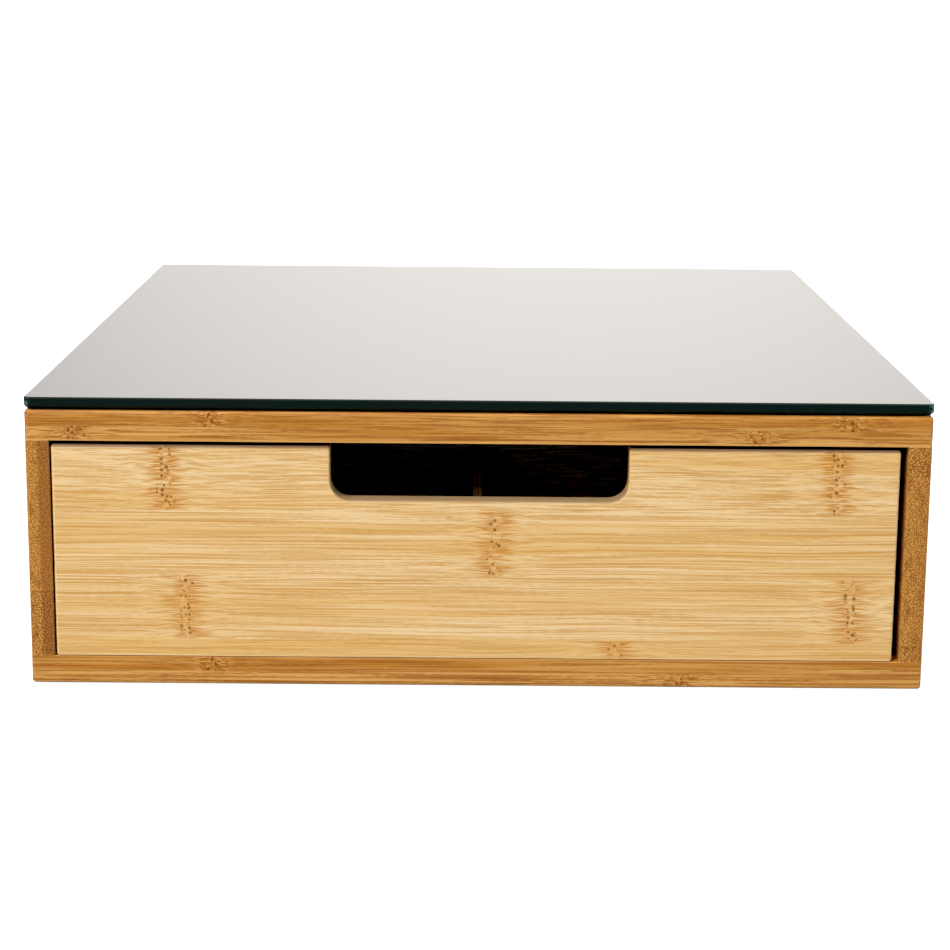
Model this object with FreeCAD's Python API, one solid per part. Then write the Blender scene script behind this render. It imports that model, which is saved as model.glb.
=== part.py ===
import FreeCAD, Part
import os
from FreeCAD import Vector

# Tabletop box with one full-width drawer for tea bags, in millimetres.
# X runs from left to right, Y from the front to the back, Z up from the table.

# Case boards: the top and bottom boards lie over and under the side boards
case_width = 310.0
case_depth = 365.0
top_thickness = 10.8
bottom_thickness = 10.0
side_thickness = 8.2
back_thickness = 8.0
opening_height = 76.2
case_rounding = 1.2
top_rounding = 1.5
mouth_arris = 0.2

# Glass plate and the clear pads that hold it
glass_thickness = 4.0
glass_overhang = 0.2
glass_corner_radius = 2.5
glass_upper_arris = 0.4
glass_lower_arris = 1.0
bond_thickness = 0.3
bond_diameter = 16.0
bond_inset = 30.0
bond_columns = 3
bond_rows = 3

# Foot pads
foot_diameter = 14.0
foot_height = 1.5
foot_rounding = 0.4
foot_inset = 26.0

# Dowels and screws of the case
dowel_diameter = 5.0
dowel_length = 22.0
dowel_chamfer = 0.6
top_dowel_depth = 6.5
joint_play = 0.05
hole_end_room = 0.5
side_joint_count = 3
side_joint_inset = 35.0
back_joint_count = 2
back_joint_inset = 60.0
screw_diameter = 3.0
screw_head_diameter = 5.5
screw_head_height = 1.8
screw_length = 28.0
screw_point_length = 3.0
screw_recess = 0.2
cross_width = 0.9
cross_span = 3.2
cross_depth = 1.2

# Gaps round the drawer: it rests nearer to the left wall
left_gap = 0.6
right_gap = 2.4
upper_gap = 1.2
lower_gap = 0.2
rear_gap = 1.5

# Drawer boards
front_thickness = 8.0
front_rounding = 1.1
front_lower_rounding = 0.2
drawer_side_thickness = 8.0
drawer_back_thickness = 8.0
drawer_side_height = 60.0
board_easing = 0.5
drawer_dowel_length = 20.0
front_dowel_depth = 5.5
side_dowel_depth = 5.0
drawer_dowels_per_joint = 2

# Finger notch in the drawer front
notch_width = 102.6
notch_offset = 1.2
notch_depth = 18.9
notch_corner_radius = 7.0
notch_rounding = 0.6

# Drawer floor, held in grooves
floor_thickness = 3.2
floor_rise = 3.0
floor_groove_depth = 4.0
groove_play = 0.1

# Dividers, which halve into each other and end in shallow grooves
divider_thickness = 3.2
divider_height = 45.5
divider_groove_depth = 2.0
divider_offset = 0.6
long_divider_names = ("left", "centre", "right")
cross_divider_names = ("front", "rear")

# Spans of the case, each as (low, high)
case_x = (-case_width / 2, case_width / 2)
case_y = (-case_depth / 2, case_depth / 2)
bottom_z = (foot_height, foot_height + bottom_thickness)
opening_z = (bottom_z[1], bottom_z[1] + opening_height)
top_z = (opening_z[1], opening_z[1] + top_thickness)
glass_z = (top_z[1] + bond_thickness, top_z[1] + bond_thickness + glass_thickness)
inner_x = (case_x[0] + side_thickness, case_x[1] - side_thickness)
back_y = (case_y[1] - back_thickness, case_y[1])

# Spans of the drawer
drawer_x = (inner_x[0] + left_gap, inner_x[1] - right_gap)
drawer_z = (opening_z[0] + lower_gap, opening_z[1] - upper_gap)
side_z = (drawer_z[0], drawer_z[0] + drawer_side_height)
front_y = (case_y[0], case_y[0] + front_thickness)
drawer_side_y = (front_y[1], back_y[0] - rear_gap)
drawer_back_y = (drawer_side_y[1] - drawer_back_thickness, drawer_side_y[1])
hold_x = (drawer_x[0] + drawer_side_thickness, drawer_x[1] - drawer_side_thickness)
hold_y = (front_y[1], drawer_back_y[0])
floor_z = (drawer_z[0] + floor_rise, drawer_z[0] + floor_rise + floor_thickness)
divider_z = (floor_z[1], floor_z[1] + divider_height)


def middle(span):
    return (span[0] + span[1]) / 2


def grown(span, amount):
    return (span[0] - amount, span[1] + amount)


def block(x, y, z):
    return Part.makeBox(x[1] - x[0], y[1] - y[0], z[1] - z[0], Vector(x[0], y[0], z[0]))


def edges_at(shape, **place):
    # Edges that lie wholly at the given coordinates, such as x=5, z=0
    found = []
    for edge in shape.Edges:
        box = edge.BoundBox
        spans = {"x": (box.XMin, box.XMax), "y": (box.YMin, box.YMax), "z": (box.ZMin, box.ZMax)}
        if all(abs(end - value) < 1e-4 for axis, value in place.items() for end in spans[axis]):
            found.append(edge)
    return found


def edges_off(shape, **place):
    # Every edge except those that lie wholly at the given coordinates
    kept_out = edges_at(shape, **place)
    return [edge for edge in shape.Edges if not any(edge.isSame(other) for other in kept_out)]


def spread(low, high, count):
    # Evenly spaced places from low to high, both included
    return [low + (high - low) * n / (count - 1) for n in range(count)]


def between(span, count, thickness):
    # Centres of walls that share a span out into equal cells
    cell = (span[1] - span[0] - count * thickness) / (count + 1)
    return [span[0] + (n + 1) * cell + (n + 0.5) * thickness for n in range(count)]


def group(shapes):
    return Part.makeCompound(shapes)


# Dowels and screws are made standing at the origin and then placed

def dowel(length):
    peg = Part.makeCylinder(dowel_diameter / 2, length)
    return peg.makeChamfer(dowel_chamfer, [edge for edge in peg.Edges if edge.Closed])


def dowel_hole(length):
    hole = Part.makeCylinder(dowel_diameter / 2 + joint_play, length + 2 * hole_end_room)
    return hole.translated(Vector(0, 0, -hole_end_room))


def screw_body(play):
    shank_radius = screw_diameter / 2 + play
    head_radius = screw_head_diameter / 2 + play
    point_start = screw_length - screw_point_length
    head = Part.makeCone(head_radius, shank_radius, screw_head_height)
    shank = Part.makeCylinder(shank_radius, point_start)
    point = Part.makeCone(shank_radius, shank_radius / 4, screw_point_length, Vector(0, 0, point_start))
    return head.fuse([shank, point]).removeSplitter()


def screw():
    arm = (-cross_span / 2, cross_span / 2)
    slot = (-cross_width / 2, cross_width / 2)
    cross = block(arm, slot, (0, cross_depth)).fuse(block(slot, arm, (0, cross_depth)))
    return screw_body(0).cut(cross)


def screw_hole():
    mouth = Part.makeCylinder(screw_head_diameter / 2 + joint_play, screw_recess, Vector(0, 0, -screw_recess))
    return screw_body(joint_play).fuse(mouth)


def placed(shape, x, y, z, axis="z"):
    turns = {"x": (Vector(0, 1, 0), 90), "y": (Vector(1, 0, 0), -90), "z": (Vector(0, 0, 1), 0)}
    turn_axis, angle = turns[axis]
    turned = shape.rotated(Vector(0, 0, 0), turn_axis, angle)
    return turned.translated(Vector(x, y, z))


# Joints of the case: places along the side boards and the back board
side_joint_y = spread(case_y[0] + side_joint_inset, case_y[1] - side_joint_inset, side_joint_count)
back_joint_x = spread(case_x[0] + back_joint_inset, case_x[1] - back_joint_inset, back_joint_count)
side_centre_x = (case_x[0] + side_thickness / 2, case_x[1] - side_thickness / 2)
case_joints = [(x, y) for x in side_centre_x for y in side_joint_y]
case_joints += [(x, middle(back_y)) for x in back_joint_x]
case_dowel_z = opening_z[1] + top_dowel_depth - dowel_length
case_screw_z = bottom_z[0] + screw_recess


def case_dowels(shape):
    return [placed(shape, x, y, case_dowel_z) for x, y in case_joints]


def case_screws(shape):
    return [placed(shape, x, y, case_screw_z) for x, y in case_joints]


# Joints of the drawer: dowels run along Y at the front and along X at the back
drawer_dowel_z = between((floor_z[1], side_z[1]), drawer_dowels_per_joint, 0)
drawer_side_centre_x = (drawer_x[0] + drawer_side_thickness / 2, drawer_x[1] - drawer_side_thickness / 2)
front_dowel_y = front_y[1] - front_dowel_depth
back_dowel_x = (hold_x[0] - side_dowel_depth, hold_x[1] + side_dowel_depth - drawer_dowel_length)


def front_dowels(shape):
    return [placed(shape, x, front_dowel_y, z, "y") for x in drawer_side_centre_x for z in drawer_dowel_z]


def back_dowels(shape):
    return [placed(shape, x, middle(drawer_back_y), z, "x") for x in back_dowel_x for z in drawer_dowel_z]


# Case

def opening_mouth():
    # The drawer's opening, flared at the front so that it eases the edges round it
    rings = []
    for y, flare in ((case_y[0], mouth_arris), (case_y[0] + mouth_arris, 0)):
        x, z = grown(inner_x, flare), grown(opening_z, flare)
        corners = [Vector(x[0], y, z[0]), Vector(x[1], y, z[0]), Vector(x[1], y, z[1]), Vector(x[0], y, z[1])]
        rings.append(Part.makePolygon(corners + corners[:1]))
    return Part.makeLoft(rings, True, True)


def case_top_panel():
    board = block(case_x, case_y, top_z)
    board = board.makeFillet(top_rounding, edges_off(board, z=top_z[0]))
    return board.cut([opening_mouth()] + case_dowels(dowel_hole(dowel_length)))


def case_bottom_panel():
    board = block(case_x, case_y, bottom_z)
    board = board.makeFillet(case_rounding, edges_off(board, z=bottom_z[1]))
    return board.cut([opening_mouth()] + case_screws(screw_hole()))


def case_side(outer_x, inner_face_x):
    board = block(sorted((outer_x, inner_face_x)), case_y, opening_z)
    outer_edges = edges_at(board, x=outer_x, y=case_y[0]) + edges_at(board, x=outer_x, y=case_y[1])
    board = board.makeFillet(case_rounding, outer_edges)
    return board.cut([opening_mouth()] + case_dowels(dowel_hole(dowel_length)) + case_screws(screw_hole()))


def case_back_panel():
    board = block(inner_x, back_y, opening_z)
    return board.cut(case_dowels(dowel_hole(dowel_length)) + case_screws(screw_hole()))


def glass_top():
    x, y = grown(case_x, glass_overhang), grown(case_y, glass_overhang)
    plate = block(x, y, glass_z)
    corners = [edge for end_x in x for end_y in y for edge in edges_at(plate, x=end_x, y=end_y)]
    plate = plate.makeFillet(glass_corner_radius, corners)
    plate = plate.makeChamfer(glass_lower_arris, edges_at(plate, z=glass_z[0]))
    return plate.makeChamfer(glass_upper_arris, edges_at(plate, z=glass_z[1]))


def glass_bond_pads():
    pad = Part.makeCylinder(bond_diameter / 2, bond_thickness)
    columns = spread(case_x[0] + bond_inset, case_x[1] - bond_inset, bond_columns)
    rows = spread(case_y[0] + bond_inset, case_y[1] - bond_inset, bond_rows)
    return group([placed(pad, x, y, top_z[1]) for x in columns for y in rows])


def foot_pad(x, y):
    pad = Part.makeCylinder(foot_diameter / 2, foot_height, Vector(x, y, 0))
    return pad.makeFillet(foot_rounding, edges_at(pad, z=0))


# Drawer

def floor_groove():
    # Takes the floor's edges, with play at its ends and over it
    x, y = grown(hold_x, floor_groove_depth), grown(hold_y, floor_groove_depth)
    return block(x, y, (floor_z[0], floor_z[1] + groove_play))


def divider_groove(x, y, top):
    return block(x, y, (floor_z[1], top))


long_divider_x = [x + divider_offset for x in between(hold_x, len(long_divider_names), divider_thickness)]
cross_divider_y = between(hold_y, len(cross_divider_names), divider_thickness)


def divider_span(centre, play):
    half = divider_thickness / 2 + play
    return (centre - half, centre + half)


def long_grooves(top):
    y = grown(hold_y, divider_groove_depth)
    return [divider_groove(divider_span(x, groove_play), y, top) for x in long_divider_x]


def cross_grooves(top):
    x = grown(hold_x, divider_groove_depth)
    return [divider_groove(x, divider_span(y, groove_play), top) for y in cross_divider_y]


def notch_span():
    centre = middle(drawer_x) + notch_offset
    return (centre - notch_width / 2, centre + notch_width / 2)


def notch():
    x = notch_span()
    z = (drawer_z[1] - notch_depth, drawer_z[1] + notch_depth)
    cutter = block(x, grown(front_y, 1), z)
    return cutter.makeFillet(notch_corner_radius, [e for end in x for e in edges_at(cutter, x=end, z=z[0])])


def drawer_front():
    board = block(drawer_x, front_y, drawer_z)
    lower = edges_at(board, y=front_y[0], z=drawer_z[0])
    rounded = [edge for edge in edges_off(board, y=front_y[1]) if not edge.isSame(lower[0])]
    board = board.makeFillet(front_rounding, rounded)
    board = board.makeFillet(front_lower_rounding, edges_at(board, y=front_y[0], z=drawer_z[0]))
    board = board.cut(notch())
    board = board.makeFillet(notch_rounding, notch_edges(board))
    return board.cut([floor_groove()] + long_grooves(divider_z[1]) + front_dowels(dowel_hole(drawer_dowel_length)))


def notch_edges(board):
    # The notch's outline on the front face
    low, high = grown(notch_span(), 1e-3)
    inside = []
    for edge in edges_at(board, y=front_y[0]):
        box = edge.BoundBox
        if box.XMin > low and box.XMax < high and box.ZMin > drawer_z[0] + front_rounding + 1e-3:
            inside.append(edge)
    return inside


def drawer_side(outer_x, inner_face_x):
    board = block(sorted((outer_x, inner_face_x)), drawer_side_y, side_z)
    top_edges = edges_at(board, x=outer_x, z=side_z[1]) + edges_at(board, x=inner_face_x, z=side_z[1])
    board = board.makeFillet(board_easing, top_edges)
    holes = front_dowels(dowel_hole(drawer_dowel_length)) + back_dowels(dowel_hole(drawer_dowel_length))
    return board.cut([floor_groove()] + cross_grooves(side_z[1]) + holes)


def drawer_back():
    board = block(hold_x, drawer_back_y, side_z)
    top_edges = edges_at(board, y=drawer_back_y[0], z=side_z[1]) + edges_at(board, y=drawer_back_y[1], z=side_z[1])
    board = board.makeFillet(board_easing, top_edges)
    return board.cut([floor_groove()] + long_grooves(side_z[1]) + back_dowels(dowel_hole(drawer_dowel_length)))


def drawer_floor():
    reach = floor_groove_depth - groove_play
    return block(grown(hold_x, reach), grown(hold_y, reach), floor_z)


def eased_wall(x, y, easing_axis):
    wall = block(x, y, divider_z)
    faces = {"x": x, "y": y}[easing_axis]
    edges = [edge for face in faces for edge in edges_at(wall, **{easing_axis: face, "z": divider_z[1]})]
    return wall.makeFillet(board_easing, edges)


def divider_long(x):
    y = grown(hold_y, divider_groove_depth - groove_play)
    wall = eased_wall(divider_span(x, 0), y, "x")
    slot_x = divider_span(x, 1)
    slot_z = (middle(divider_z) - groove_play, divider_z[1] + 1)
    return wall.cut([block(slot_x, divider_span(y, groove_play), slot_z) for y in cross_divider_y])


def divider_cross(y):
    x = grown(hold_x, divider_groove_depth - groove_play)
    wall = eased_wall(x, divider_span(y, 0), "y")
    slot_y = divider_span(y, 1)
    slot_z = (divider_z[0] - 1, middle(divider_z))
    return wall.cut([block(divider_span(x, groove_play), slot_y, slot_z) for x in long_divider_x])


nodes = {
    "case_top_panel": case_top_panel(),
    "case_bottom_panel": case_bottom_panel(),
    "case_side_left": case_side(case_x[0], inner_x[0]),
    "case_side_right": case_side(case_x[1], inner_x[1]),
    "case_back_panel": case_back_panel(),
    "case_dowels": group(case_dowels(dowel(dowel_length))),
    "case_screws": group(case_screws(screw())),
    "glass_top": glass_top(),
    "glass_bond_pads": glass_bond_pads(),
    "drawer_front": drawer_front(),
    "drawer_side_left": drawer_side(drawer_x[0], hold_x[0]),
    "drawer_side_right": drawer_side(drawer_x[1], hold_x[1]),
    "drawer_back": drawer_back(),
    "drawer_floor": drawer_floor(),
    "drawer_front_dowels": group(front_dowels(dowel(drawer_dowel_length))),
    "drawer_back_dowels": group(back_dowels(dowel(drawer_dowel_length))),
}

for side, x in zip(("left", "right"), grown(case_x, -foot_inset)):
    for end, y in zip(("front", "rear"), grown(case_y, -foot_inset)):
        nodes[f"foot_pad_{end}_{side}"] = foot_pad(x, y)

for name, x in zip(long_divider_names, long_divider_x):
    nodes[f"divider_long_{name}"] = divider_long(x)

for name, y in zip(cross_divider_names, cross_divider_y):
    nodes[f"divider_cross_{name}"] = divider_cross(y)

os.makedirs("parts", exist_ok=True)
for name, shape in nodes.items():
    shape.exportStep(f"parts/{name}.step")
    print(f"{name}: {len(shape.Solids)} solid(s), {shape.Volume:.0f} mm3, valid {shape.isValid()}")
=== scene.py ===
import math

import bpy
from mathutils import Matrix, Vector


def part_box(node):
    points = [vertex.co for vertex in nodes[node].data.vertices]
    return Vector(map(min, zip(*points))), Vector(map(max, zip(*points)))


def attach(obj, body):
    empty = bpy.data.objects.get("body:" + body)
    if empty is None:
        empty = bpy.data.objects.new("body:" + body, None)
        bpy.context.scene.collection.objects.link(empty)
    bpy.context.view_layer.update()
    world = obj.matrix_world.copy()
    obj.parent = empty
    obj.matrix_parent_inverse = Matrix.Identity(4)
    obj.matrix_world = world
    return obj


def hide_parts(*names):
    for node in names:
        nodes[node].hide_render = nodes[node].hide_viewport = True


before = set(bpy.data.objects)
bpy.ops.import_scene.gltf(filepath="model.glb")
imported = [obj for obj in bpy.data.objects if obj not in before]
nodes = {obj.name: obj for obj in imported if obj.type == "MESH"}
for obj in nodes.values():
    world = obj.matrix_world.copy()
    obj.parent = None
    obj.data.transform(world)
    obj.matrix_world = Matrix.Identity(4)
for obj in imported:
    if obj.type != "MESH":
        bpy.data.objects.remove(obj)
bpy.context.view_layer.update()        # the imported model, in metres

print("frame loaded:", len(nodes), "nodes")


# Node helpers, shared by the materials and the geometry trees

def feed(tree, value, socket):
    # Joins a socket to another node's output, or sets it to a plain value
    if isinstance(value, bpy.types.NodeSocket):
        tree.links.new(value, socket)
    else:
        socket.default_value = value


def addNode(tree, kind, inputs=None, **settings):
    made = tree.nodes.new(kind)
    for name, value in settings.items():
        setattr(made, name, value)
    for name, value in (inputs or {}).items():
        feed(tree, value, made.inputs[name])
    return made


def calc(tree, operation, *values, clamp=False):
    made = addNode(tree, "ShaderNodeMath", operation=operation, use_clamp=clamp)
    for socket, value in zip(made.inputs, values):
        feed(tree, value, socket)
    return made.outputs[0]


def fade(tree, value, low, high, toLow=0.0, toHigh=1.0):
    # Smooth step from low to high
    limits = {"Value": value, "From Min": low, "From Max": high, "To Min": toLow, "To Max": toHigh}
    return addNode(tree, "ShaderNodeMapRange", limits, interpolation_type="SMOOTHSTEP").outputs[0]


def slope(tree, value, low, high, toHigh):
    # Straight rise from 0 at low to toHigh at high
    limits = {"Value": value, "From Min": low, "From Max": high, "To Min": 0.0, "To Max": toHigh}
    return addNode(tree, "ShaderNodeMapRange", limits).outputs[0]


def blendColour(tree, share, first, second):
    # Sockets 6 and 7 of a Mix node are its two colours, and 2 and 3 its two values
    made = addNode(tree, "ShaderNodeMix", data_type="RGBA", clamp_factor=True)
    for index, value in ((0, share), (6, first), (7, second)):
        feed(tree, value, made.inputs[index])
    return made.outputs[2]


def blendValue(tree, share, first, second):
    return addNode(tree, "ShaderNodeMix", {0: share, 2: first, 3: second}, data_type="FLOAT").outputs[0]


def apart(tree, value):
    # The three parts of a vector or a colour
    return addNode(tree, "ShaderNodeSeparateXYZ", {0: value}).outputs


def place(tree, x, y, z):
    return addNode(tree, "ShaderNodeCombineXYZ", {"X": x, "Y": y, "Z": z}).outputs[0]


def vectorCalc(tree, operation, *values):
    return addNode(tree, "ShaderNodeVectorMath", dict(enumerate(values)), operation=operation).outputs[0]


def noise(tree, x, y, z, detail=2.0):
    settings = {"Vector": place(tree, x, y, z), "Scale": 1.0, "Detail": detail}
    return addNode(tree, "ShaderNodeTexNoise", settings).outputs["Fac"]


def over(tree, value, length):
    return calc(tree, "DIVIDE", value, length)


def tint(red, green, blue):
    # A colour as a picture editor names it, turned to the linear values that nodes take
    linear = [((c / 255 + 0.055) / 1.055) ** 2.4 if c > 10 else c / 255 / 12.92 for c in (red, green, blue)]
    return (*linear, 1.0)


def newGroup(name, inputs, outputs, treeKind="ShaderNodeTree"):
    tree = bpy.data.node_groups.new(name, treeKind)
    for title, kind, value in inputs:
        socket = tree.interface.new_socket(title, in_out="INPUT", socket_type=kind)
        if value is not None:
            socket.default_value = value
    for title, kind in outputs:
        tree.interface.new_socket(title, in_out="OUTPUT", socket_type=kind)
    return tree, tree.nodes.new("NodeGroupInput").outputs, tree.nodes.new("NodeGroupOutput").inputs


number, vector, colour = "NodeSocketFloat", "NodeSocketVector", "NodeSocketColor"
whole, geometry, stuff = "NodeSocketInt", "NodeSocketGeometry", "NodeSocketMaterial"


# Camera, at eye height in front of the box

viewPoint = {
    "place": (-0.0030, -0.9625, 0.2457),
    "lens": 88.4,
    "pitch": -12.21,
    "yaw": -0.13,
    "roll": 0.49,
    "sensor": 36,
    "near": 0.01,
    "far": 100,
}


def makeCamera():
    data = bpy.data.cameras.new("viewCamera")
    data.lens = viewPoint["lens"]
    data.sensor_width = viewPoint["sensor"]
    data.clip_start, data.clip_end = viewPoint["near"], viewPoint["far"]
    camera = bpy.data.objects.new("viewCamera", data)
    bpy.context.scene.collection.objects.link(camera)
    turn = (Matrix.Rotation(math.radians(viewPoint["yaw"]), 4, "Z")
            @ Matrix.Rotation(math.radians(90 + viewPoint["pitch"]), 4, "X")
            @ Matrix.Rotation(math.radians(viewPoint["roll"]), 4, "Z"))
    camera.matrix_world = Matrix.Translation(viewPoint["place"]) @ turn
    bpy.context.scene.camera = camera


makeCamera()
print("camera placed")


# Bamboo: flat strips side by side in plies, with culm nodes across them

def makeArrisGroup():
    # 1 on the rounded edges of a board and close beside them
    tree, given, out = newGroup("boardArris", [
        ("Position", vector, (0, 0, 0)),
        ("Low", vector, (0, 0, 0)),
        ("High", vector, (1, 1, 1)),
        ("Reach", number, 0.001),
    ], [("Edge", number)])
    below = vectorCalc(tree, "SUBTRACT", given["Position"], given["Low"])
    above = vectorCalc(tree, "SUBTRACT", given["High"], given["Position"])
    x, y, z = apart(tree, vectorCalc(tree, "MINIMUM", below, above))
    least = calc(tree, "MINIMUM", calc(tree, "MINIMUM", x, y), z)
    most = calc(tree, "MAXIMUM", calc(tree, "MAXIMUM", x, y), z)
    total = calc(tree, "ADD", calc(tree, "ADD", x, y), z)
    second = calc(tree, "SUBTRACT", calc(tree, "SUBTRACT", total, least), most)
    tree.links.new(fade(tree, second, given["Reach"], 0.0), out["Edge"])
    return tree


bambooGrain = {            # millimetres, and shares from 0 to 1
    "ownPlace": (900.0, 310.0, 170.0),                  # how far apart in the culm two strips may come from
    "wanderBy": 7.0, "wanderWidth": 3.0,                # a node's line across the strip
    "nodeReach": (26.0, 5.0), "swirlReach": (9.0, 3.0),
    "driftBy": 2.4, "driftSize": (80.0, 25.0),
    "curlBy": 1.6, "farCurlBy": 0.15, "curlSize": (8.0, 4.0),
    "swirlBy": 2.2, "swirlSize": (2.2, 1.8),
    "broadSize": (230.0, 11.0), "broadTone": 1.7,
    "bandSize": (100.0, 2.0), "bandTone": 2.2,
    "toneShare": 0.8, "leastTone": 0.05,
    "nearFibre": (9.0, 0.45), "fleckSize": (3.0, 0.3), "fleckShare": 0.3,
    "fibreLimits": (0.42, 0.66), "fibreShare": 0.75,
    "darkTimes": 2.2, "darkWidth": 0.6, "darkLimits": (0.6, 0.72), "darkShare": 0.6, "darkLost": 0.6,
    "streakSize": (12.0, 0.36), "streakLimits": (0.42, 0.58), "leastStreak": 0.1,
    "streakReach": 23.0, "streakStart": -4.5, "reachWidth": 0.6, "fullReach": 0.45,
    "nodeGap": (0.6, 1.8), "nodeGapShare": 0.45,        # paler in the node's own line
    "pitSpacing": 1.5, "pitRow": (2.4, 1.6), "pitEdge": (0.37, 0.24), "pitSizes": (0.5, 0.9),
    "patchEdge": (0.7, 0.4), "patchShare": 0.7,         # the stain round each pit
    "arcSize": (4.0, 0.5), "arcLimits": (0.52, 0.64), "arcShare": 0.75,
    "seamEdge": (0.25, 0.05), "seamShare": 0.35,
    "dotSpacing": 0.64, "toneDotSpacing": 0.2, "dotEdge": (0.46, 0.2), "dotShares": (0.3, 0.65),
    "endPatch": (5.0, 2.4), "endPatchLimits": (0.2, 0.6), "rindFrom": (0.4, 0.6),
    "endGround": 0.25, "endLight": 0.5, "endTone": -0.4,
    "lineRelief": -0.5, "pitRelief": -0.2, "dotRelief": 0.6,
    "roughness": 0.4, "lineRoughness": 0.1, "pitRoughness": 0.5, "endRoughness": 0.14,
}


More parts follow.
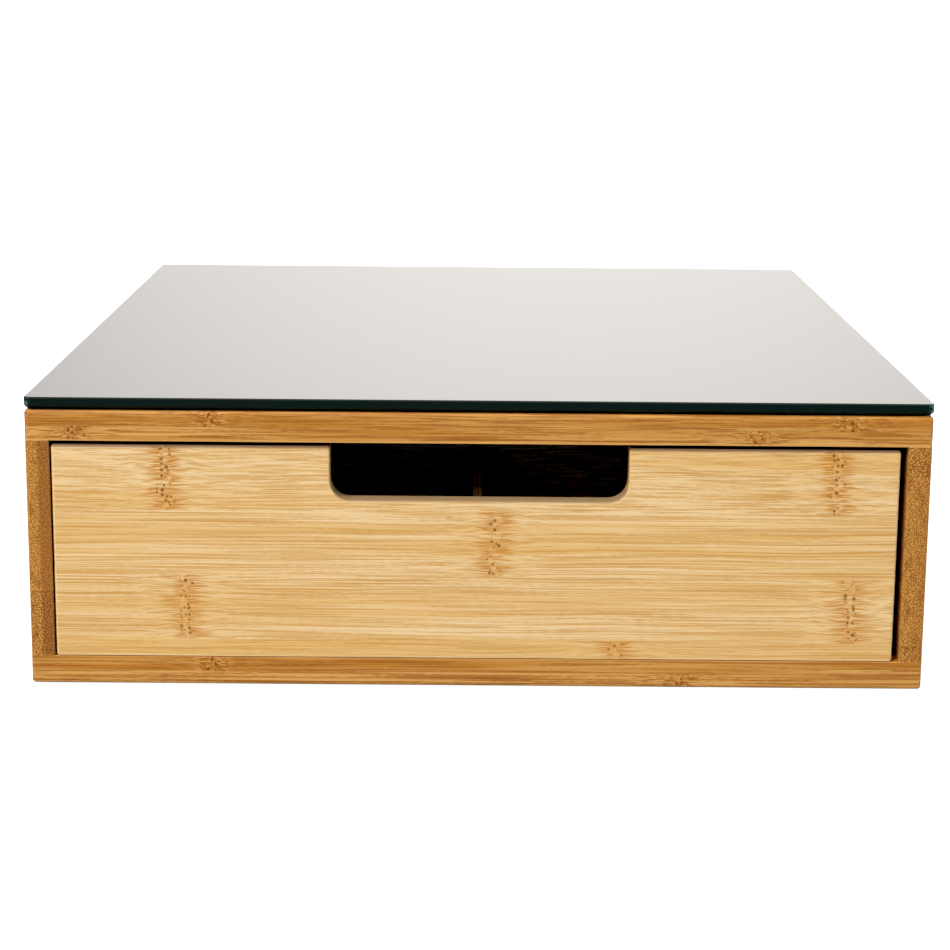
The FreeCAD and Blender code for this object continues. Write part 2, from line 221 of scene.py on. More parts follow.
def makeBambooGroup():
    # All lengths in millimetres: Grain runs along the fibres, Width across a strip's face, Depth through it
    white = (1, 1, 1, 1)
    tree, given, out = newGroup("bambooStrips", [
        ("Grain", number, 0), ("Width", number, 0), ("Depth", number, 0), ("End", number, 0),
        ("Strip Width", number, 22.9), ("Ply", number, 4.8), ("Node Spacing", number, 230),
        ("Node Shift", number, 0), ("Fibre Length", number, 40), ("Fibre Width", number, 0.4),
        ("Tone", number, 0.5), ("Rind", number, 0.5), ("Swirl", number, 0), ("Seed", number, 1),
        ("Pale", colour, white), ("Warm", colour, white), ("Line", colour, white), ("Stain", colour, white),
        ("Pit", colour, white), ("End Brown", colour, white), ("End Dot", colour, white),
    ], [("Color", colour), ("Height", number), ("Roughness", number)])
    along, across, deep, tone = given["Grain"], given["Width"], given["Depth"], given["Tone"]
    wood = bambooGrain

    def times(*values):
        return calc(tree, "MULTIPLY", *values)

    def plus(value, factor, start, **settings):
        return calc(tree, "MULTIPLY_ADD", value, factor, start, **settings)

    def step(value, limits, *results):
        return fade(tree, value, *limits, *results)

    def centred(value):
        return calc(tree, "SUBTRACT", value, 0.5)

    # Each strip of each ply is cut from its own place in the culm
    strip = calc(tree, "FLOOR", over(tree, across, given["Strip Width"]))
    ply = calc(tree, "FLOOR", over(tree, deep, given["Ply"]))
    chance = addNode(tree, "ShaderNodeTexWhiteNoise", {"Vector": place(tree, strip, ply, given["Seed"])})
    ownAlong, ownAcross, ownDeep = (
        plus(share, reach, value) for share, reach, value
        in zip(apart(tree, chance.outputs["Color"]), wood["ownPlace"], (along, across, deep)))

    # Distance along the grain from the nearest node, whose line wanders across the strip
    half = over(tree, given["Node Spacing"], 2.0)
    wander = noise(tree, over(tree, ownAcross, wood["wanderWidth"]), over(tree, ownDeep, wood["wanderWidth"]),
                   0.0, detail=1.0)
    nodeLine = plus(centred(wander), wood["wanderBy"], given["Node Shift"])
    fromNode = calc(tree, "WRAP", calc(tree, "SUBTRACT", along, nodeLine), half, times(half, -1.0))
    nearness = calc(tree, "ABSOLUTE", fromNode)
    near = step(nearness, wood["nodeReach"])

    # The fibres drift slowly, bend beside a node, and swirl close to it where the cut runs through the rings
    def spread(size, detail):
        length, width = size
        return centred(noise(tree, over(tree, ownAlong, length), over(tree, ownAcross, width),
                             over(tree, ownDeep, width), detail))

    driftLength, driftWidth = wood["driftSize"]
    drift = noise(tree, over(tree, ownAlong, driftLength), over(tree, ownAcross, driftWidth), 0.0, detail=1.0)
    curlBy = plus(near, wood["curlBy"], wood["farCurlBy"])
    bend = plus(spread(wood["curlSize"], detail=1.0), curlBy, times(centred(drift), wood["driftBy"]))
    swirlBy = times(step(nearness, wood["swirlReach"], 0.0, wood["swirlBy"]), given["Swirl"])
    bend = plus(spread(wood["swirlSize"], detail=0.0), swirlBy, bend)
    fibreAcross = calc(tree, "ADD", ownAcross, bend)

    def grainNoise(length, width, detail=0.0):
        return noise(tree, over(tree, ownAlong, length), over(tree, fibreAcross, width),
                     over(tree, ownDeep, width), detail)

    # Broad tone and bands, then fibres about a millimetre apart, which break up beside a node, and dark ones
    broad = centred(grainNoise(*wood["broadSize"]))
    bands = centred(grainNoise(*wood["bandSize"], detail=1.0))
    warmth = plus(broad, wood["broadTone"], times(bands, wood["bandTone"]))
    warmth = calc(tree, "ADD", warmth, plus(tone, wood["toneShare"], wood["leastTone"]), clamp=True)
    face = blendColour(tree, warmth, given["Pale"], given["Warm"])
    farFibres = grainNoise(given["Fibre Length"], given["Fibre Width"], detail=0.4)
    fibres = blendValue(tree, near, farFibres, grainNoise(*wood["nearFibre"], detail=0.6))
    fibres = plus(centred(grainNoise(*wood["fleckSize"])), wood["fleckShare"], fibres)
    fibreShare = step(fibres, wood["fibreLimits"])
    dark = grainNoise(times(given["Fibre Length"], wood["darkTimes"]), wood["darkWidth"])
    darkShare = times(step(dark, wood["darkLimits"]), plus(near, -wood["darkLost"], 1.0))
    lineShare = plus(darkShare, wood["darkShare"], times(fibreShare, wood["fibreShare"]), clamp=True)
    face = blendColour(tree, lineShare, face, given["Line"])

    # A node: streaks of many lengths on both sides, and pits of many sizes in a wandering row
    reach = noise(tree, over(tree, fibreAcross, wood["reachWidth"]), over(tree, ownDeep, wood["reachWidth"]),
                  calc(tree, "SIGN", fromNode), detail=1.0)
    reach = plus(reach, wood["streakReach"], wood["streakStart"])
    beside = fade(tree, nearness, reach, times(reach, wood["fullReach"]))
    streaks = grainNoise(*wood["streakSize"], detail=0.5)
    stainShare = times(beside, step(streaks, wood["streakLimits"], wood["leastStreak"], 1.0))
    stainShare = times(stainShare, step(nearness, wood["nodeGap"], wood["nodeGapShare"], 1.0))
    spot = place(tree, *(over(tree, value, wood["pitSpacing"]) for value in (along, across, deep)))
    cells = addNode(tree, "ShaderNodeTexVoronoi", {"Vector": spot, "Scale": 1.0, "Randomness": 0.9},
                    feature="F1").outputs
    leastPit, pitSpan = wood["pitSizes"]
    pits = over(tree, cells["Distance"], plus(apart(tree, cells["Color"])[0], pitSpan, leastPit))
    inRow = step(nearness, wood["pitRow"])
    pitShare = times(step(pits, wood["pitEdge"]), inRow)
    aroundPit = times(step(pits, wood["patchEdge"], 0.0, wood["patchShare"]), inRow)
    face = blendColour(tree, calc(tree, "MAXIMUM", stainShare, aroundPit), face, given["Stain"])
    arcs = times(step(grainNoise(*wood["arcSize"]), wood["arcLimits"]),
                 step(nearness, wood["swirlReach"], 0.0, wood["arcShare"]))
    face = blendColour(tree, times(arcs, given["Swirl"]), face, given["Pale"])
    face = blendColour(tree, pitShare, face, given["Pit"])

    # The glue lines between strips and plies
    intoStrip = calc(tree, "WRAP", across, given["Strip Width"], 0.0)
    intoPly = calc(tree, "WRAP", deep, given["Ply"], 0.0)
    seams = [calc(tree, "MINIMUM", start, calc(tree, "SUBTRACT", spacing, start))
             for start, spacing in ((intoStrip, given["Strip Width"]), (intoPly, given["Ply"]))]
    seamShare = times(step(calc(tree, "MINIMUM", *seams), wood["seamEdge"]), wood["seamShare"])
    face = blendColour(tree, seamShare, face, given["Line"])

    # End grain: light bundle dots in brown, coarser in a dark strip, and darker by Rind in a ply's far half
    dotSpacing = plus(tone, wood["toneDotSpacing"], wood["dotSpacing"])
    spot = place(tree, over(tree, ownAcross, dotSpacing), over(tree, ownDeep, dotSpacing), 0.0)
    dots = addNode(tree, "ShaderNodeTexVoronoi", {"Vector": spot, "Scale": 1.0, "Randomness": 0.8},
                   feature="F1", voronoi_dimensions="2D").outputs["Distance"]
    patchWidth, patchDepth = wood["endPatch"]
    patch = noise(tree, over(tree, ownAcross, patchWidth), over(tree, ownDeep, patchDepth), 0.0)
    rind = times(step(over(tree, intoPly, given["Ply"]), wood["rindFrom"]), given["Rind"])
    light = times(step(patch, wood["endPatchLimits"]), calc(tree, "SUBTRACT", 1.0, rind))
    leastDot, dotSpan = wood["dotShares"]
    dotShare = calc(tree, "MULTIPLY", step(dots, wood["dotEdge"]), plus(light, dotSpan, leastDot), clamp=True)
    ground = plus(light, wood["endLight"], plus(tone, wood["endTone"], wood["endGround"]), clamp=True)
    endFace = blendColour(tree, ground, given["End Brown"], given["Warm"])
    endFace = blendColour(tree, dotShare, endFace, given["End Dot"])
    endFace = blendColour(tree, seamShare, endFace, given["End Brown"])

    faceHeight = plus(lineShare, wood["lineRelief"], times(pitShare, wood["pitRelief"]))
    roughness = plus(pitShare, wood["pitRoughness"], wood["roughness"])
    roughness = plus(lineShare, wood["lineRoughness"], roughness)
    for title, result in (
            ("Color", blendColour(tree, given["End"], face, endFace)),
            ("Height", blendValue(tree, given["End"], faceHeight, times(dotShare, wood["dotRelief"]))),
            ("Roughness", plus(given["End"], wood["endRoughness"], roughness))):
        tree.links.new(result, out[title])
    return tree


arrisGroup = makeArrisGroup()
bambooGroup = makeBambooGroup()

palePalette = {
    "Pale": tint(243, 219, 172), "Warm": tint(231, 193, 125), "Line": tint(200, 151, 81),
    "Stain": tint(191, 121, 26), "Pit": tint(70, 8, 0),
    "End Brown": tint(168, 120, 62), "End Dot": tint(230, 194, 134),
}
caramelPalette = {
    "Pale": tint(212, 161, 87), "Warm": tint(184, 123, 42), "Line": tint(154, 93, 22),
    "Stain": tint(150, 88, 8), "Pit": tint(127, 68, 0),
    "End Brown": tint(130, 76, 14), "End Dot": tint(210, 156, 78),
}

bambooFinish = {
    "drawnIn": 0.001,
    "arrisReach": 0.0012,
    "shine": 0.3,
    "bumpStrength": 0.35, "bumpDepth": 0.00012,
    "endFacing": (0.45, 0.85),                          # how squarely a face lies across the grain
    "plyShift": 0.37,                                   # of the node spacing, from one ply to the next
    "leastFibre": 0.15, "fibreSpan": 0.35, "longestFibre": 100.0,
    # painted shade, grey-brown, on faces that look up, as under the case's top board
    "paintedUpShade": tint(144, 118, 84), "paintedUpShadeFacing": (0.1, 0.6), "paintedUpShadeShare": 0.9,
    # painted shade, dark brown, on a drawer front's top edge, as in the shadow of the gap over it
    "paintedTopShade": tint(82, 38, 2), "paintedTopShadeShare": 0.65, "paintedTopShadeUnder": 0.0004,
    "halfway": 0.001,                                   # either side of a board's middle height
}

axisOrder = {"x": 0, "y": 1, "z": 2}


def chooseByIndex(tree, index, rows):
    # Three values between 0 and 1 for the strip or ply with this index, from a stepped ramp
    ramp = addNode(tree, "ShaderNodeValToRGB")
    ramp.color_ramp.interpolation = "CONSTANT"
    stops = ramp.color_ramp.elements
    stops.remove(stops[1])
    for step, row in enumerate(rows):
        stop = stops[0] if step == 0 else stops.new(step / len(rows))
        stop.color = (*row, 1)
    feed(tree, over(tree, calc(tree, "ADD", index, 0.5), float(len(rows))), ramp.inputs[0])
    return apart(tree, ramp.outputs[0])


def bambooMaterial(name, piece, axes, palette, stripStart=None, stripWidth=22.9, ply=4.8, spacing=230.0,
                   spacingStep=0.0, seed=1.0, laid=None, laidBy="strip", firstLaid=0, fibreWidth=0.4,
                   edgeLight=0.35, upperEdges=1.0, rind=0.5, swirl=0.0, paintedShadeFrom=None):
    # axes names the board's grain, width and depth axes, such as "xzy". laid gives the node's place, the
    # fibres' length and the tone of each strip or ply in turn, and chance gives them where it is left out.
    # spacingStep is added to the node spacing with each ply, and edgeLight is a painted highlight on the
    # rounded edges, partly the paler sanded wood and partly light that the roundings would catch; upperEdges
    # is the share of it that the upper edges get. rind darkens the far half of each ply's end grain, and
    # swirl is for a board that is cut through its rings. A board given a shade height gets painted shade:
    # grey-brown where it faces up, as under the case's top board, and dark brown above that height, as in the
    # shadow of the gap over its top edge.
    low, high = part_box(piece)
    middle = [(a + b) / 2 for a, b in zip(low, high)]
    finish = bambooFinish
    material = bpy.data.materials.new(name)
    material.use_nodes = True
    tree = material.node_tree
    shader = tree.nodes["Principled BSDF"]
    spot = addNode(tree, "ShaderNodeTexCoord")
    # Drawn in a hair towards the board's middle, so that a face never falls between two plies
    drawnIn = finish["drawnIn"]
    point = apart(tree, vectorCalc(tree, "MULTIPLY_ADD", spot.outputs["Object"], [1 - drawnIn] * 3,
                                   [drawnIn * c for c in middle]))
    facing = apart(tree, spot.outputs["Normal"])
    grainAxis, widthAxis, depthAxis = (axisOrder[axis] for axis in axes)
    stripStart = low[widthAxis] if stripStart is None else stripStart
    along = calc(tree, "MULTIPLY", point[grainAxis], 1000.0)
    across = calc(tree, "MULTIPLY_ADD", point[widthAxis], 1000.0, -1000 * stripStart)
    deep = calc(tree, "MULTIPLY_ADD", point[depthAxis], 1000.0, -1000 * low[depthAxis])
    end = fade(tree, calc(tree, "ABSOLUTE", facing[grainAxis]), *finish["endFacing"])
    strip = calc(tree, "FLOOR", over(tree, across, stripWidth))
    layer = calc(tree, "FLOOR", over(tree, deep, ply))
    if laid:
        chosen, other = (strip, layer) if laidBy == "strip" else (layer, strip)
        rows = [(shift / spacing + 0.5, length / finish["longestFibre"], tone)
                for shift, length, tone in laid]
        index = calc(tree, "SUBTRACT", chosen, float(firstLaid))
        shiftShare, lengthShare, tone = chooseByIndex(tree, index, rows)
        shiftShare = calc(tree, "MULTIPLY_ADD", other, finish["plyShift"], shiftShare)
    else:
        chance = addNode(tree, "ShaderNodeTexWhiteNoise", {"Vector": place(tree, strip, layer, seed + 0.5)})
        shiftShare, lengthShare, tone = apart(tree, chance.outputs["Color"])
        lengthShare = calc(tree, "MULTIPLY_ADD", lengthShare, finish["fibreSpan"], finish["leastFibre"])
    arris = addNode(tree, "ShaderNodeGroup", node_tree=arrisGroup)
    for title, value in (("Position", spot.outputs["Object"]), ("Low", low), ("High", high),
                         ("Reach", finish["arrisReach"])):
        feed(tree, value, arris.inputs[title])
    bamboo = addNode(tree, "ShaderNodeGroup", node_tree=bambooGroup)
    for title, value in (("Grain", along), ("Width", across), ("Depth", deep), ("End", end),
                         ("Strip Width", stripWidth), ("Ply", ply),
                         ("Node Spacing", calc(tree, "MULTIPLY_ADD", layer, spacingStep, spacing)),
                         ("Node Shift", calc(tree, "MULTIPLY_ADD", shiftShare, spacing, -spacing / 2)),
                         ("Fibre Length", calc(tree, "MULTIPLY", lengthShare, finish["longestFibre"])),
                         ("Fibre Width", fibreWidth), ("Tone", tone), ("Rind", rind), ("Swirl", swirl),
                         ("Seed", seed), *palette.items()):
        feed(tree, value, bamboo.inputs[title])
    # Painted highlight along the rounded edges: partly the paler sanded wood there, partly light that the
    # roundings would catch
    lit = calc(tree, "MULTIPLY", arris.outputs["Edge"], fade(tree, end, 0.0, 1.0, edgeLight, 0.0))
    lowerHalf, upperHalf = middle[2] - finish["halfway"], middle[2] + finish["halfway"]
    lit = calc(tree, "MULTIPLY", lit, fade(tree, point[2], lowerHalf, upperHalf, 1.0, upperEdges))
    wornAndPaintedLight = blendColour(tree, lit, bamboo.outputs["Color"], palette["Pale"])
    # Painted shade: grey-brown on faces that look up, as under the case's top board, and dark brown over the
    # top edge, as in the shadow of the gap above it
    if paintedShadeFrom:
        paintedUpShade = fade(tree, facing[2], *finish["paintedUpShadeFacing"], 0.0, finish["paintedUpShadeShare"])
        wornAndPaintedLight = blendColour(tree, paintedUpShade, wornAndPaintedLight, finish["paintedUpShade"])
        topShadeFull = high[2] - finish["paintedTopShadeUnder"]
        paintedTopShade = fade(tree, point[2], paintedShadeFrom, topShadeFull, 0.0, finish["paintedTopShadeShare"])
        wornAndPaintedLight = blendColour(tree, paintedTopShade, wornAndPaintedLight, finish["paintedTopShade"])
    bump = addNode(tree, "ShaderNodeBump", {"Strength": finish["bumpStrength"],
                                            "Distance": finish["bumpDepth"],
                                            "Height": bamboo.outputs["Height"]})
    for title, result in (("Base Color", wornAndPaintedLight), ("Roughness", bamboo.outputs["Roughness"]),
                          ("Normal", bump.outputs[0])):
        tree.links.new(result, shader.inputs[title])
    shader.inputs["Specular IOR Level"].default_value = finish["shine"]
    return material


def dress(material, piece):
    slots = nodes[piece].data.materials
    for index in range(len(slots)):
        slots[index] = material


# laid: the node's place and the fibres' length in millimetres, and the tone, from the board's low side up
caseBoards = {
    # the top board's lower edges get a strong painted highlight, and its upper edges none
    "case_top_panel": {"axes": "xyz", "ply": 5.25, "seed": 11.0, "spacing": 234.0, "spacingStep": -15.5,
                       "fibreWidth": 0.55, "edgeLight": 0.95, "upperEdges": 0.0, "swirl": 1.0,
                       "laidBy": "ply", "laid": ((95.0, 30.0, 0.5), (-92.0, 22.0, 0.9))},
    "case_bottom_panel": {"axes": "xyz", "ply": 5.0, "seed": 12.0, "spacing": 300.0,
                          "fibreWidth": 0.6, "edgeLight": 0.15, "swirl": 1.0,
                          "laidBy": "ply", "laid": ((70.0, 60.0, 0.1), (-92.0, 45.0, 0.6))},
    "case_side_left": {"axes": "yzx", "ply": 8.3, "seed": 13.0, "rind": 0.9,
                       "laid": ((40.0, 30.0, 0.8), (-70.0, 34.0, 0.35), (10.0, 26.0, 0.45),
                                (-40.0, 30.0, 0.6))},
    "case_side_right": {"axes": "yzx", "ply": 8.3, "seed": 14.0, "stripWidth": 20.2, "stripStart": -0.0032,
                        "rind": 0.25, "laid": ((20.0, 30.0, 0.9), (-50.0, 34.0, 0.5), (80.0, 26.0, 0.45),
                                               (-10.0, 30.0, 0.5), (60.0, 30.0, 0.95))},
    "case_back_panel": {"axes": "xzy", "ply": 4.0, "seed": 15.0},
}
drawerBoards = {
    "drawer_front": {"axes": "xzy", "ply": 4.0, "seed": 21.0, "stripStart": 0.018, "firstLaid": -1,
                     # the height where the painted shade on the drawer front's top edge starts
                     "paintedShadeFrom": 0.085, "laid": ((48.0, 40.0, 1.0), (-101.0, 38.0, 0.4), (6.0, 44.0, 0.5),
                                                   (-107.0, 16.0, 0.45))},
    "drawer_side_left": {"axes": "yzx", "ply": 4.0, "seed": 22.0},
    "drawer_side_right": {"axes": "yzx", "ply": 4.0, "seed": 23.0},
    "drawer_back": {"axes": "xzy", "ply": 4.0, "seed": 24.0},
    "drawer_floor": {"axes": "xyz", "ply": 6.4, "seed": 25.0},
    "divider_long_left": {"axes": "yzx", "ply": 6.4, "seed": 26.0},
    "divider_long_centre": {"axes": "yzx", "ply": 6.4, "seed": 27.0},
    "divider_long_right": {"axes": "yzx", "ply": 6.4, "seed": 28.0},
    "divider_cross_front": {"axes": "xzy", "ply": 6.4, "seed": 29.0},
    "divider_cross_rear": {"axes": "xzy", "ply": 6.4, "seed": 30.0},
}

for boards, palette in ((caseBoards, caramelPalette), (drawerBoards, palePalette)):
    for piece, board in boards.items():
        dress(bambooMaterial(piece + "Bamboo", piece, palette=palette, **board), piece)
print("bamboo boards dressed")


# Glass plate: dark tinted, ground and polished edges

glassPlate = {
    "body": tint(12, 15, 16),
    "edge": tint(31, 28, 15),
    # painted glint on the plate's rounded corners
    "corner": tint(100, 126, 116),
    "cornerX": (0.1524, 0.1544), "cornerY": (0.1799, 0.1819),
    "rimFacing": (0.97, 0.9),
    "cloudScale": (900.0, 900.0, 700.0), "cloudLimits": (0.4, 0.65),
    "roughness": 0.03, "wipedRoughness": 0.03, "rimRoughness": 0.12, "wipeScale": 9.0,
    "specular": 0.5, "rimSpecular": 0.12,
    "refraction": 1.52,
}


def makeGlassMaterial():
    material = bpy.data.materials.new("darkPlateGlass")
    material.use_nodes = True
    tree = material.node_tree
    shader = tree.nodes["Principled BSDF"]
    spot = addNode(tree, "ShaderNodeTexCoord")
    upright = apart(tree, vectorCalc(tree, "ABSOLUTE", spot.outputs["Normal"]))[2]
    rim = fade(tree, upright, *glassPlate["rimFacing"])
    point = apart(tree, spot.outputs["Object"])
    # Painted glint on the rounded corners of the edge, pale teal in clouds, where light would come through
    # the glass
    corner = calc(tree, "MULTIPLY", *(fade(tree, calc(tree, "ABSOLUTE", value), *glassPlate[limits])
                                      for value, limits in zip(point, ("cornerX", "cornerY"))))
    clouds = noise(tree, *(calc(tree, "MULTIPLY", value, scale)
                           for value, scale in zip(point, glassPlate["cloudScale"])))
    corner = calc(tree, "MULTIPLY", calc(tree, "MULTIPLY", corner, rim),
                  fade(tree, clouds, *glassPlate["cloudLimits"]))
    body = blendColour(tree, rim, glassPlate["body"], glassPlate["edge"])
    haze = noise(tree, *(calc(tree, "MULTIPLY", value, glassPlate["wipeScale"]) for value in point[:2]),
                 0.0, detail=3.0)
    wiped = calc(tree, "MULTIPLY_ADD", haze, glassPlate["wipedRoughness"], glassPlate["roughness"])
    specular = fade(tree, rim, 0.0, 1.0, glassPlate["specular"], glassPlate["rimSpecular"])
    for title, result in (("Base Color", blendColour(tree, corner, body, glassPlate["corner"])),
                          ("Roughness", calc(tree, "MULTIPLY_ADD", rim, glassPlate["rimRoughness"], wiped)),
                          ("Specular IOR Level", specular)):
        tree.links.new(result, shader.inputs[title])
    shader.inputs["IOR"].default_value = glassPlate["refraction"]
    return material


dress(makeGlassMaterial(), "glass_top")
print("glass dressed")


# Small parts

smallFinishes = {
    "footRubber": {"base": tint(46, 44, 42), "second": tint(58, 55, 52),
                   "roughness": 0.6, "grainSize": 0.0006},
    "screwSteel": {"base": tint(176, 170, 150), "second": tint(150, 143, 124),
                   "roughness": 0.28, "grainSize": 0.0012, "metallic": 1.0},
    "dowelBeech": {"base": tint(206, 170, 122), "second": tint(188, 148, 100),
                   "roughness": 0.6, "grainSize": 0.0009},
    "clearAdhesive": {"base": tint(190, 190, 186), "second": tint(205, 205, 200),
                      "roughness": 0.2, "grainSize": 0.002},
}


def plainMaterial(name, base, second, roughness, grainSize, metallic=0.0, mottleLimits=(0.35, 0.65),
                  roughnessSpan=0.12, bumpStrength=0.4, bumpDepth=0.00005):
    # Two close tones mottled together, with the same mottling in the surface
    material = bpy.data.materials.new(name)
    material.use_nodes = True
    tree = material.node_tree
    shader = tree.nodes["Principled BSDF"]
    spot = addNode(tree, "ShaderNodeTexCoord").outputs["Object"]
    mottle = addNode(tree, "ShaderNodeTexNoise", {"Vector": spot, "Scale": 1 / grainSize, "Detail": 4.0})
    mottle = mottle.outputs["Fac"]
    share = fade(tree, mottle, *mottleLimits)
    tree.links.new(blendColour(tree, share, base, second), shader.inputs["Base Color"])
    tree.links.new(calc(tree, "MULTIPLY_ADD", share, roughnessSpan, roughness), shader.inputs["Roughness"])
    bump = {"Strength": bumpStrength, "Distance": bumpDepth, "Height": mottle}
    tree.links.new(addNode(tree, "ShaderNodeBump", bump).outputs[0], shader.inputs["Normal"])
    shader.inputs["Metallic"].default_value = metallic
    return material


finishes = {name: plainMaterial(name, **values) for name, values in smallFinishes.items()}
dress(finishes["clearAdhesive"], "glass_bond_pads")


def solidBoxes(piece):
    # Lowest and highest corner of each separate solid of a CAD node
    mesh = nodes[piece].data
    spots = [tuple(round(value, 6) for value in corner.co) for corner in mesh.vertices]
    owner = {spot: spot for spot in spots}

    def first(spot):
        while owner[spot] != spot:
            spot = owner[spot]
        return spot

    for edge in mesh.edges:
        one, other = (first(spots[corner]) for corner in edge.vertices)
        owner[max(one, other)] = min(one, other)
    solids = {}
    for spot in owner:
        solids.setdefault(first(spot), []).append(spot)
    return [(Vector(map(min, *points)), Vector(map(max, *points))) for points in solids.values()]


def turnedShape(tree, sides, steps, profile):
    # A shape turned about Z, whose profile gives radius and height for an angle and a share of the outline
    grid = addNode(tree, "GeometryNodeMeshGrid", {"Size X": 1.0, "Size Y": 1.0,
                                                  "Vertices X": sides, "Vertices Y": steps})
    point = apart(tree, addNode(tree, "GeometryNodeInputPosition").outputs[0])
    angle = calc(tree, "MULTIPLY", point[0], 2 * math.pi)
    radius, height = profile(angle, calc(tree, "ADD", point[1], 0.5))
    spot = place(tree, calc(tree, "MULTIPLY", radius, calc(tree, "COSINE", angle)),
                 calc(tree, "MULTIPLY", radius, calc(tree, "SINE", angle)), height)
    bent = addNode(tree, "GeometryNodeSetPosition", {"Geometry": grid.outputs["Mesh"], "Position": spot})
    closed = addNode(tree, "GeometryNodeMergeByDistance", {"Geometry": bent.outputs[0], "Distance": 1e-6})
    return addNode(tree, "GeometryNodeSetShadeSmooth", {"Geometry": closed.outputs[0]}).outputs[0]


def stampTree(name, sizes, makeShape):
    # Puts one shape, centred and turned, on every point of the mesh that it is given
    tree, given, out = newGroup(name, [
        ("Geometry", geometry, None), ("Turn", vector, (0, 0, 0)), ("Material", stuff, None),
        *((title, whole if isinstance(value, int) else number, value) for title, value in sizes.items()),
    ], [("Geometry", geometry)], "GeometryNodeTree")
    turn = addNode(tree, "FunctionNodeEulerToRotation", {0: given["Turn"]}).outputs[0]
    stamped = addNode(tree, "GeometryNodeInstanceOnPoints", {"Points": given["Geometry"], "Rotation": turn,
                                                             "Instance": makeShape(tree, given)})
    real = addNode(tree, "GeometryNodeRealizeInstances", {"Geometry": stamped.outputs[0]}).outputs[0]
    painted = addNode(tree, "GeometryNodeSetMaterial", {"Geometry": real, "Material": given["Material"]})
    tree.links.new(painted.outputs[0], out["Geometry"])
    return tree


def stampPiece(name, tree, replaced, body, values):
    boxes = [solid for piece in replaced for solid in solidBoxes(piece)]
    mesh = bpy.data.meshes.new(name)
    mesh.from_pydata([(low + high) / 2 for low, high in boxes], [], [])
    piece = bpy.data.objects.new(name, mesh)
    bpy.context.scene.collection.objects.link(piece)
    modifier = piece.modifiers.new("stamp", "NODES")
    modifier.node_group = tree
    for item in tree.interface.items_tree:
        if item.name in values:
            modifier[item.identifier] = values[item.name]
    evaluated = piece.evaluated_get(bpy.context.evaluated_depsgraph_get())
    piece.data = bpy.data.meshes.new_from_object(evaluated)
    piece.modifiers.remove(modifier)
    piece.data.materials.clear()
    piece.data.materials.append(values["Material"])
    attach(piece, body)
    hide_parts(*replaced)


# The outlines below are built up of slopes, each from one share of the way along to another

dowelSizes = {"Radius": 0.0025, "Length": 0.02, "Chamfer": 0.0006, "Flutes": 12, "Flute Depth": 0.0003}


def makeDowel(tree, given):
    def profile(angle, share):
        fromEnd = calc(tree, "MINIMUM", share, calc(tree, "SUBTRACT", 1.0, share))
        core = calc(tree, "SUBTRACT", given["Radius"], given["Chamfer"])
        radius = calc(tree, "ADD", slope(tree, fromEnd, 0.0, 0.1, core),
                      slope(tree, fromEnd, 0.1, 0.2, given["Chamfer"]))
        wave = calc(tree, "COSINE", calc(tree, "MULTIPLY", angle, given["Flutes"]))
        wave = calc(tree, "MULTIPLY_ADD", wave, 0.5, 0.5)
        flute = calc(tree, "MULTIPLY", wave, slope(tree, fromEnd, 0.12, 0.2, given["Flute Depth"]))
        straight = calc(tree, "MULTIPLY_ADD", given["Chamfer"], -2.0, given["Length"])
        height = calc(tree, "ADD", slope(tree, share, 0.1, 0.2, given["Chamfer"]),
                      slope(tree, share, 0.2, 0.8, straight))
        height = calc(tree, "ADD", height, slope(tree, share, 0.8, 0.9, given["Chamfer"]))
        radius = calc(tree, "SUBTRACT", radius, flute)
        return radius, calc(tree, "MULTIPLY_ADD", given["Length"], -0.5, height)
    return turnedShape(tree, sides=73, steps=21, profile=profile)


footSizes = {"Radius": 0.007, "Height": 0.0015, "Easing": 0.0004, "Rings": 4, "Ring Depth": 0.00025}


def makeFoot(tree, given):
    def profile(angle, share):
        core = calc(tree, "SUBTRACT", given["Radius"], given["Easing"])
        eased = slope(tree, share, 0.6, 0.75, math.pi / 2)
        corner = calc(tree, "MULTIPLY", calc(tree, "SINE", eased), given["Easing"])
        radius = calc(tree, "ADD", slope(tree, share, 0.0, 0.6, core), corner)
        radius = calc(tree, "SUBTRACT", radius, slope(tree, share, 0.85, 1.0, given["Radius"]))
        rise = calc(tree, "SUBTRACT", 1.0, calc(tree, "COSINE", eased))
        rise = calc(tree, "MULTIPLY", rise, given["Easing"])
        wall = slope(tree, share, 0.75, 0.85, calc(tree, "SUBTRACT", given["Height"], given["Easing"]))
        turns = calc(tree, "MULTIPLY", slope(tree, share, 0.05, 0.55, 2 * math.pi), given["Rings"])
        ring = calc(tree, "MULTIPLY", calc(tree, "SUBTRACT", 1.0, calc(tree, "COSINE", turns)),
                    calc(tree, "MULTIPLY", given["Ring Depth"], 0.5))
        height = calc(tree, "ADD", calc(tree, "ADD", rise, wall), ring)
        return radius, calc(tree, "MULTIPLY_ADD", given["Height"], -0.5, height)
    return turnedShape(tree, sides=65, steps=121, profile=profile)


screwSizes = {
    "Length": 0.028, "Head Radius": 0.00275, "Head Height": 0.0018, "Shank Radius": 0.0015,
    "Thread Depth": 0.00035, "Pitch": 0.0014, "Point Length": 0.003,
    "Cross Span": 0.0032, "Cross Width": 0.0009, "Cross Depth": 0.0012,
}


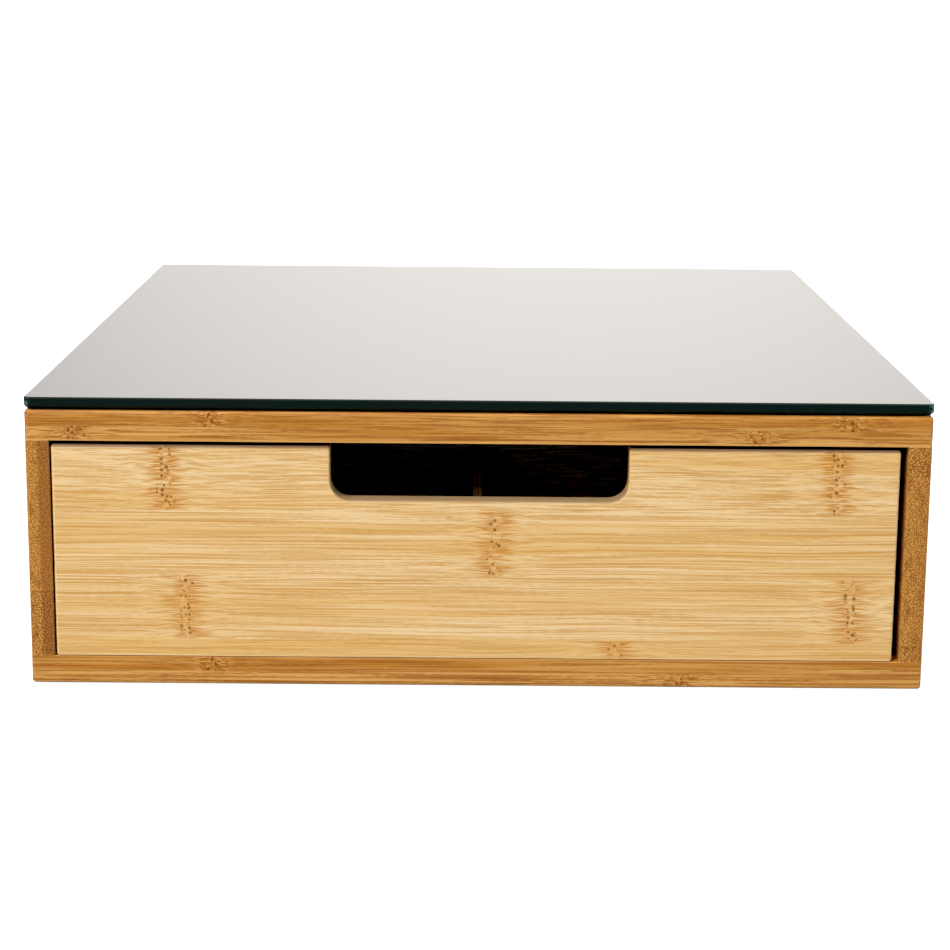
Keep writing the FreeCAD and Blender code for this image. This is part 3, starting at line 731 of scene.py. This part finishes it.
def makeScrew(tree, given):
    def profile(angle, share):
        # Begins just over the cross, inside the head
        start = calc(tree, "MULTIPLY", given["Head Height"], 0.75)
        height = calc(tree, "MULTIPLY_ADD", calc(tree, "SUBTRACT", given["Length"], start),
                      slope(tree, share, 0.005, 1.0, 1.0), start)
        core = calc(tree, "SUBTRACT", given["Shank Radius"], given["Thread Depth"])
        turn = calc(tree, "SUBTRACT", over(tree, height, given["Pitch"]), over(tree, angle, 2 * math.pi))
        ridge = calc(tree, "MULTIPLY", calc(tree, "PINGPONG", turn, 0.5), given["Thread Depth"])
        radius = calc(tree, "MULTIPLY_ADD", ridge, 2.0, core)
        left = over(tree, calc(tree, "SUBTRACT", given["Length"], height), given["Point Length"])
        radius = calc(tree, "MULTIPLY", radius, slope(tree, left, 0.0, 1.0, 1.0))
        radius = calc(tree, "MULTIPLY", radius, slope(tree, share, 0.0, 0.005, 1.0))
        return radius, calc(tree, "MULTIPLY_ADD", given["Length"], -0.5, height)

    shank = turnedShape(tree, sides=25, steps=181, profile=profile)
    cone = addNode(tree, "GeometryNodeMeshCone", {"Vertices": 40, "Depth": given["Head Height"],
                                                  "Radius Bottom": given["Head Radius"],
                                                  "Radius Top": given["Shank Radius"]})
    deep = calc(tree, "MULTIPLY", given["Cross Depth"], 2.0)
    span, width = given["Cross Span"], given["Cross Width"]
    arms = [addNode(tree, "GeometryNodeMeshCube", {"Size": place(tree, *size)}).outputs[0]
            for size in ((span, width, deep), (width, span, deep))]
    cross = addNode(tree, "GeometryNodeMeshBoolean", {"Mesh 2": arms[0]}, operation="UNION", solver="EXACT")
    tree.links.new(arms[1], cross.inputs["Mesh 2"])
    head = addNode(tree, "GeometryNodeMeshBoolean", {"Mesh 1": cone.outputs[0], "Mesh 2": cross.outputs[0]},
                   operation="DIFFERENCE", solver="EXACT")
    low = place(tree, 0.0, 0.0, calc(tree, "MULTIPLY", given["Length"], -0.5))
    seated = addNode(tree, "GeometryNodeTransform", {"Geometry": head.outputs[0], "Translation": low})
    both = addNode(tree, "GeometryNodeJoinGeometry", {0: shank})
    tree.links.new(seated.outputs[0], both.inputs[0])
    return both.outputs[0]


dowelGroups = {
    "caseDowels": {"node": "case_dowels", "body": "case", "length": 0.022, "turn": (0, 0, 0)},
    "frontDowels": {"node": "drawer_front_dowels", "body": "drawer", "length": 0.02,
                    "turn": (math.pi / 2, 0, 0)},
    "backDowels": {"node": "drawer_back_dowels", "body": "drawer", "length": 0.02,
                   "turn": (0, math.pi / 2, 0)},
}

dowelTree = stampTree("flutedDowels", dowelSizes, makeDowel)
for name, group in dowelGroups.items():
    stampPiece(name, dowelTree, [group["node"]], group["body"],
               {"Turn": group["turn"], "Length": group["length"], "Material": finishes["dowelBeech"]})
stampPiece("footPads", stampTree("ringedFeet", footSizes, makeFoot),
           ["foot_pad_front_left", "foot_pad_front_right", "foot_pad_rear_left", "foot_pad_rear_right"],
           "case", {"Material": finishes["footRubber"]})
stampPiece("caseScrews", stampTree("threadedScrews", screwSizes, makeScrew), ["case_screws"],
           "case", {"Material": finishes["screwSteel"]})
print("small parts made")


# Floor, lights and sky

studio = {
    "target": (0, 0, 0.05),
    "floorRadius": 40.0, "floorSides": 64,
    "floorTint": (0.4, 0.4, 0.4, 1), "floorRoughness": 0.9, "floorSpecular": 0.1,
    "floorGlow": 1.0, "farFloorGlow": 1.2, "farFloor": (0.3, 3.5),
    "skyLight": 0.3,
    "cardPlace": (0.0, 2.6, 0.75), "cardWidth": 4.4, "cardHeight": 1.4,
    "cardTint": tint(255, 250, 245), "cardGlow": 1.8,
    "cardCentre": 0.15, "cardPeak": 0.975, "cardFall": -0.35, "leastCard": 0.5,
    "cardRise": (0.2, 0.75), "cardRiseGlow": (0.82, 1.14),
    "blackLevel": (0.018, 0.0085, 0.003),
}
lights = {
    "keyLight": {"spot": (-1.35, -1.75, 2.6), "size": 1.3, "power": 122.0},
    "sideFill": {"spot": (1.9, -0.22, 0.4), "size": 0.4, "power": 11.0},
    "topLight": {"spot": (0.2, -0.3, 1.9), "size": 1.5, "power": 22.0},
}


def makeFloor():
    mesh = bpy.data.meshes.new("studioFloor")
    radius, sides = studio["floorRadius"], studio["floorSides"]
    angles = [2 * math.pi * side / sides for side in range(sides)]
    mesh.from_pydata([(radius * math.cos(angle), radius * math.sin(angle), 0) for angle in angles],
                     [], [list(range(sides))])
    floor = bpy.data.objects.new("studioFloor", mesh)
    bpy.context.scene.collection.objects.link(floor)
    material = bpy.data.materials.new("paleFloor")
    material.use_nodes = True
    tree = material.node_tree
    shader = tree.nodes["Principled BSDF"]
    shader.inputs["Base Color"].default_value = studio["floorTint"]
    shader.inputs["Roughness"].default_value = studio["floorRoughness"]
    shader.inputs["Specular IOR Level"].default_value = studio["floorSpecular"]
    # Its glow is seen and lights nothing
    seen = addNode(tree, "ShaderNodeLightPath").outputs["Is Camera Ray"]
    spot = addNode(tree, "ShaderNodeTexCoord").outputs["Object"]
    away = addNode(tree, "ShaderNodeVectorMath", {0: spot}, operation="LENGTH").outputs["Value"]
    glow = fade(tree, away, *studio["farFloor"], studio["floorGlow"], studio["farFloorGlow"])
    shader.inputs["Emission Color"].default_value = (1, 1, 1, 1)
    tree.links.new(calc(tree, "MULTIPLY", glow, seen), shader.inputs["Emission Strength"])
    mesh.materials.append(material)


def areaLight(name, spot, size, power):
    data = bpy.data.lights.new(name, "AREA")
    data.shape = "SQUARE"
    data.size = size
    data.energy = power
    light = bpy.data.objects.new(name, data)
    light.location = spot
    light.rotation_euler = (Vector(studio["target"]) - Vector(spot)).to_track_quat("-Z", "Y").to_euler()
    light.visible_camera = False
    bpy.context.scene.collection.objects.link(light)


def makeCard():
    # A lit card behind the box, which the glass plate mirrors, brightest a little right of the middle
    halfWide, halfHigh = studio["cardWidth"] / 2, studio["cardHeight"] / 2
    x, y, z = studio["cardPlace"]
    mesh = bpy.data.meshes.new("backCard")
    mesh.from_pydata([(x - halfWide, y, z - halfHigh), (x + halfWide, y, z - halfHigh),
                      (x + halfWide, y, z + halfHigh), (x - halfWide, y, z + halfHigh)], [], [(0, 1, 2, 3)])
    card = bpy.data.objects.new("backCard", mesh)
    bpy.context.scene.collection.objects.link(card)
    card.visible_camera = False
    card.visible_shadow = False
    material = bpy.data.materials.new("cardGlow")
    material.use_nodes = True
    tree = material.node_tree
    tree.nodes.remove(tree.nodes["Principled BSDF"])
    point = apart(tree, addNode(tree, "ShaderNodeTexCoord").outputs["Object"])
    offCentre = calc(tree, "SUBTRACT", point[0], studio["cardCentre"])
    side = calc(tree, "MULTIPLY", offCentre, offCentre)
    side = calc(tree, "MULTIPLY_ADD", side, studio["cardFall"], studio["cardPeak"])
    side = calc(tree, "MAXIMUM", side, studio["leastCard"])
    height = fade(tree, point[2], *studio["cardRise"], *studio["cardRiseGlow"])
    power = calc(tree, "MULTIPLY", calc(tree, "MULTIPLY", side, height), studio["cardGlow"])
    glow = addNode(tree, "ShaderNodeEmission", {"Color": studio["cardTint"], "Strength": power})
    tree.links.new(glow.outputs[0], tree.nodes["Material Output"].inputs["Surface"])
    mesh.materials.append(material)


def makeSky():
    world = bpy.data.worlds.new("studioSky")
    bpy.context.scene.world = world
    world.use_nodes = True
    tree = world.node_tree
    back = tree.nodes["Background"]
    back.inputs["Color"].default_value = (1, 1, 1, 1)
    seen = addNode(tree, "ShaderNodeLightPath").outputs["Is Camera Ray"]
    tree.links.new(fade(tree, seen, 0.0, 1.0, studio["skyLight"], 1.0), back.inputs["Strength"])


makeFloor()
makeCard()
makeSky()
for name, light in lights.items():
    areaLight(name, **light)
shading = bpy.context.scene.view_settings
shading.view_transform, shading.look, shading.exposure, shading.gamma = "Standard", "None", 0, 1
shading.use_curve_mapping = True
shading.curve_mapping.black_level = studio["blackLevel"]
shading.curve_mapping.update()
print("studio lit")
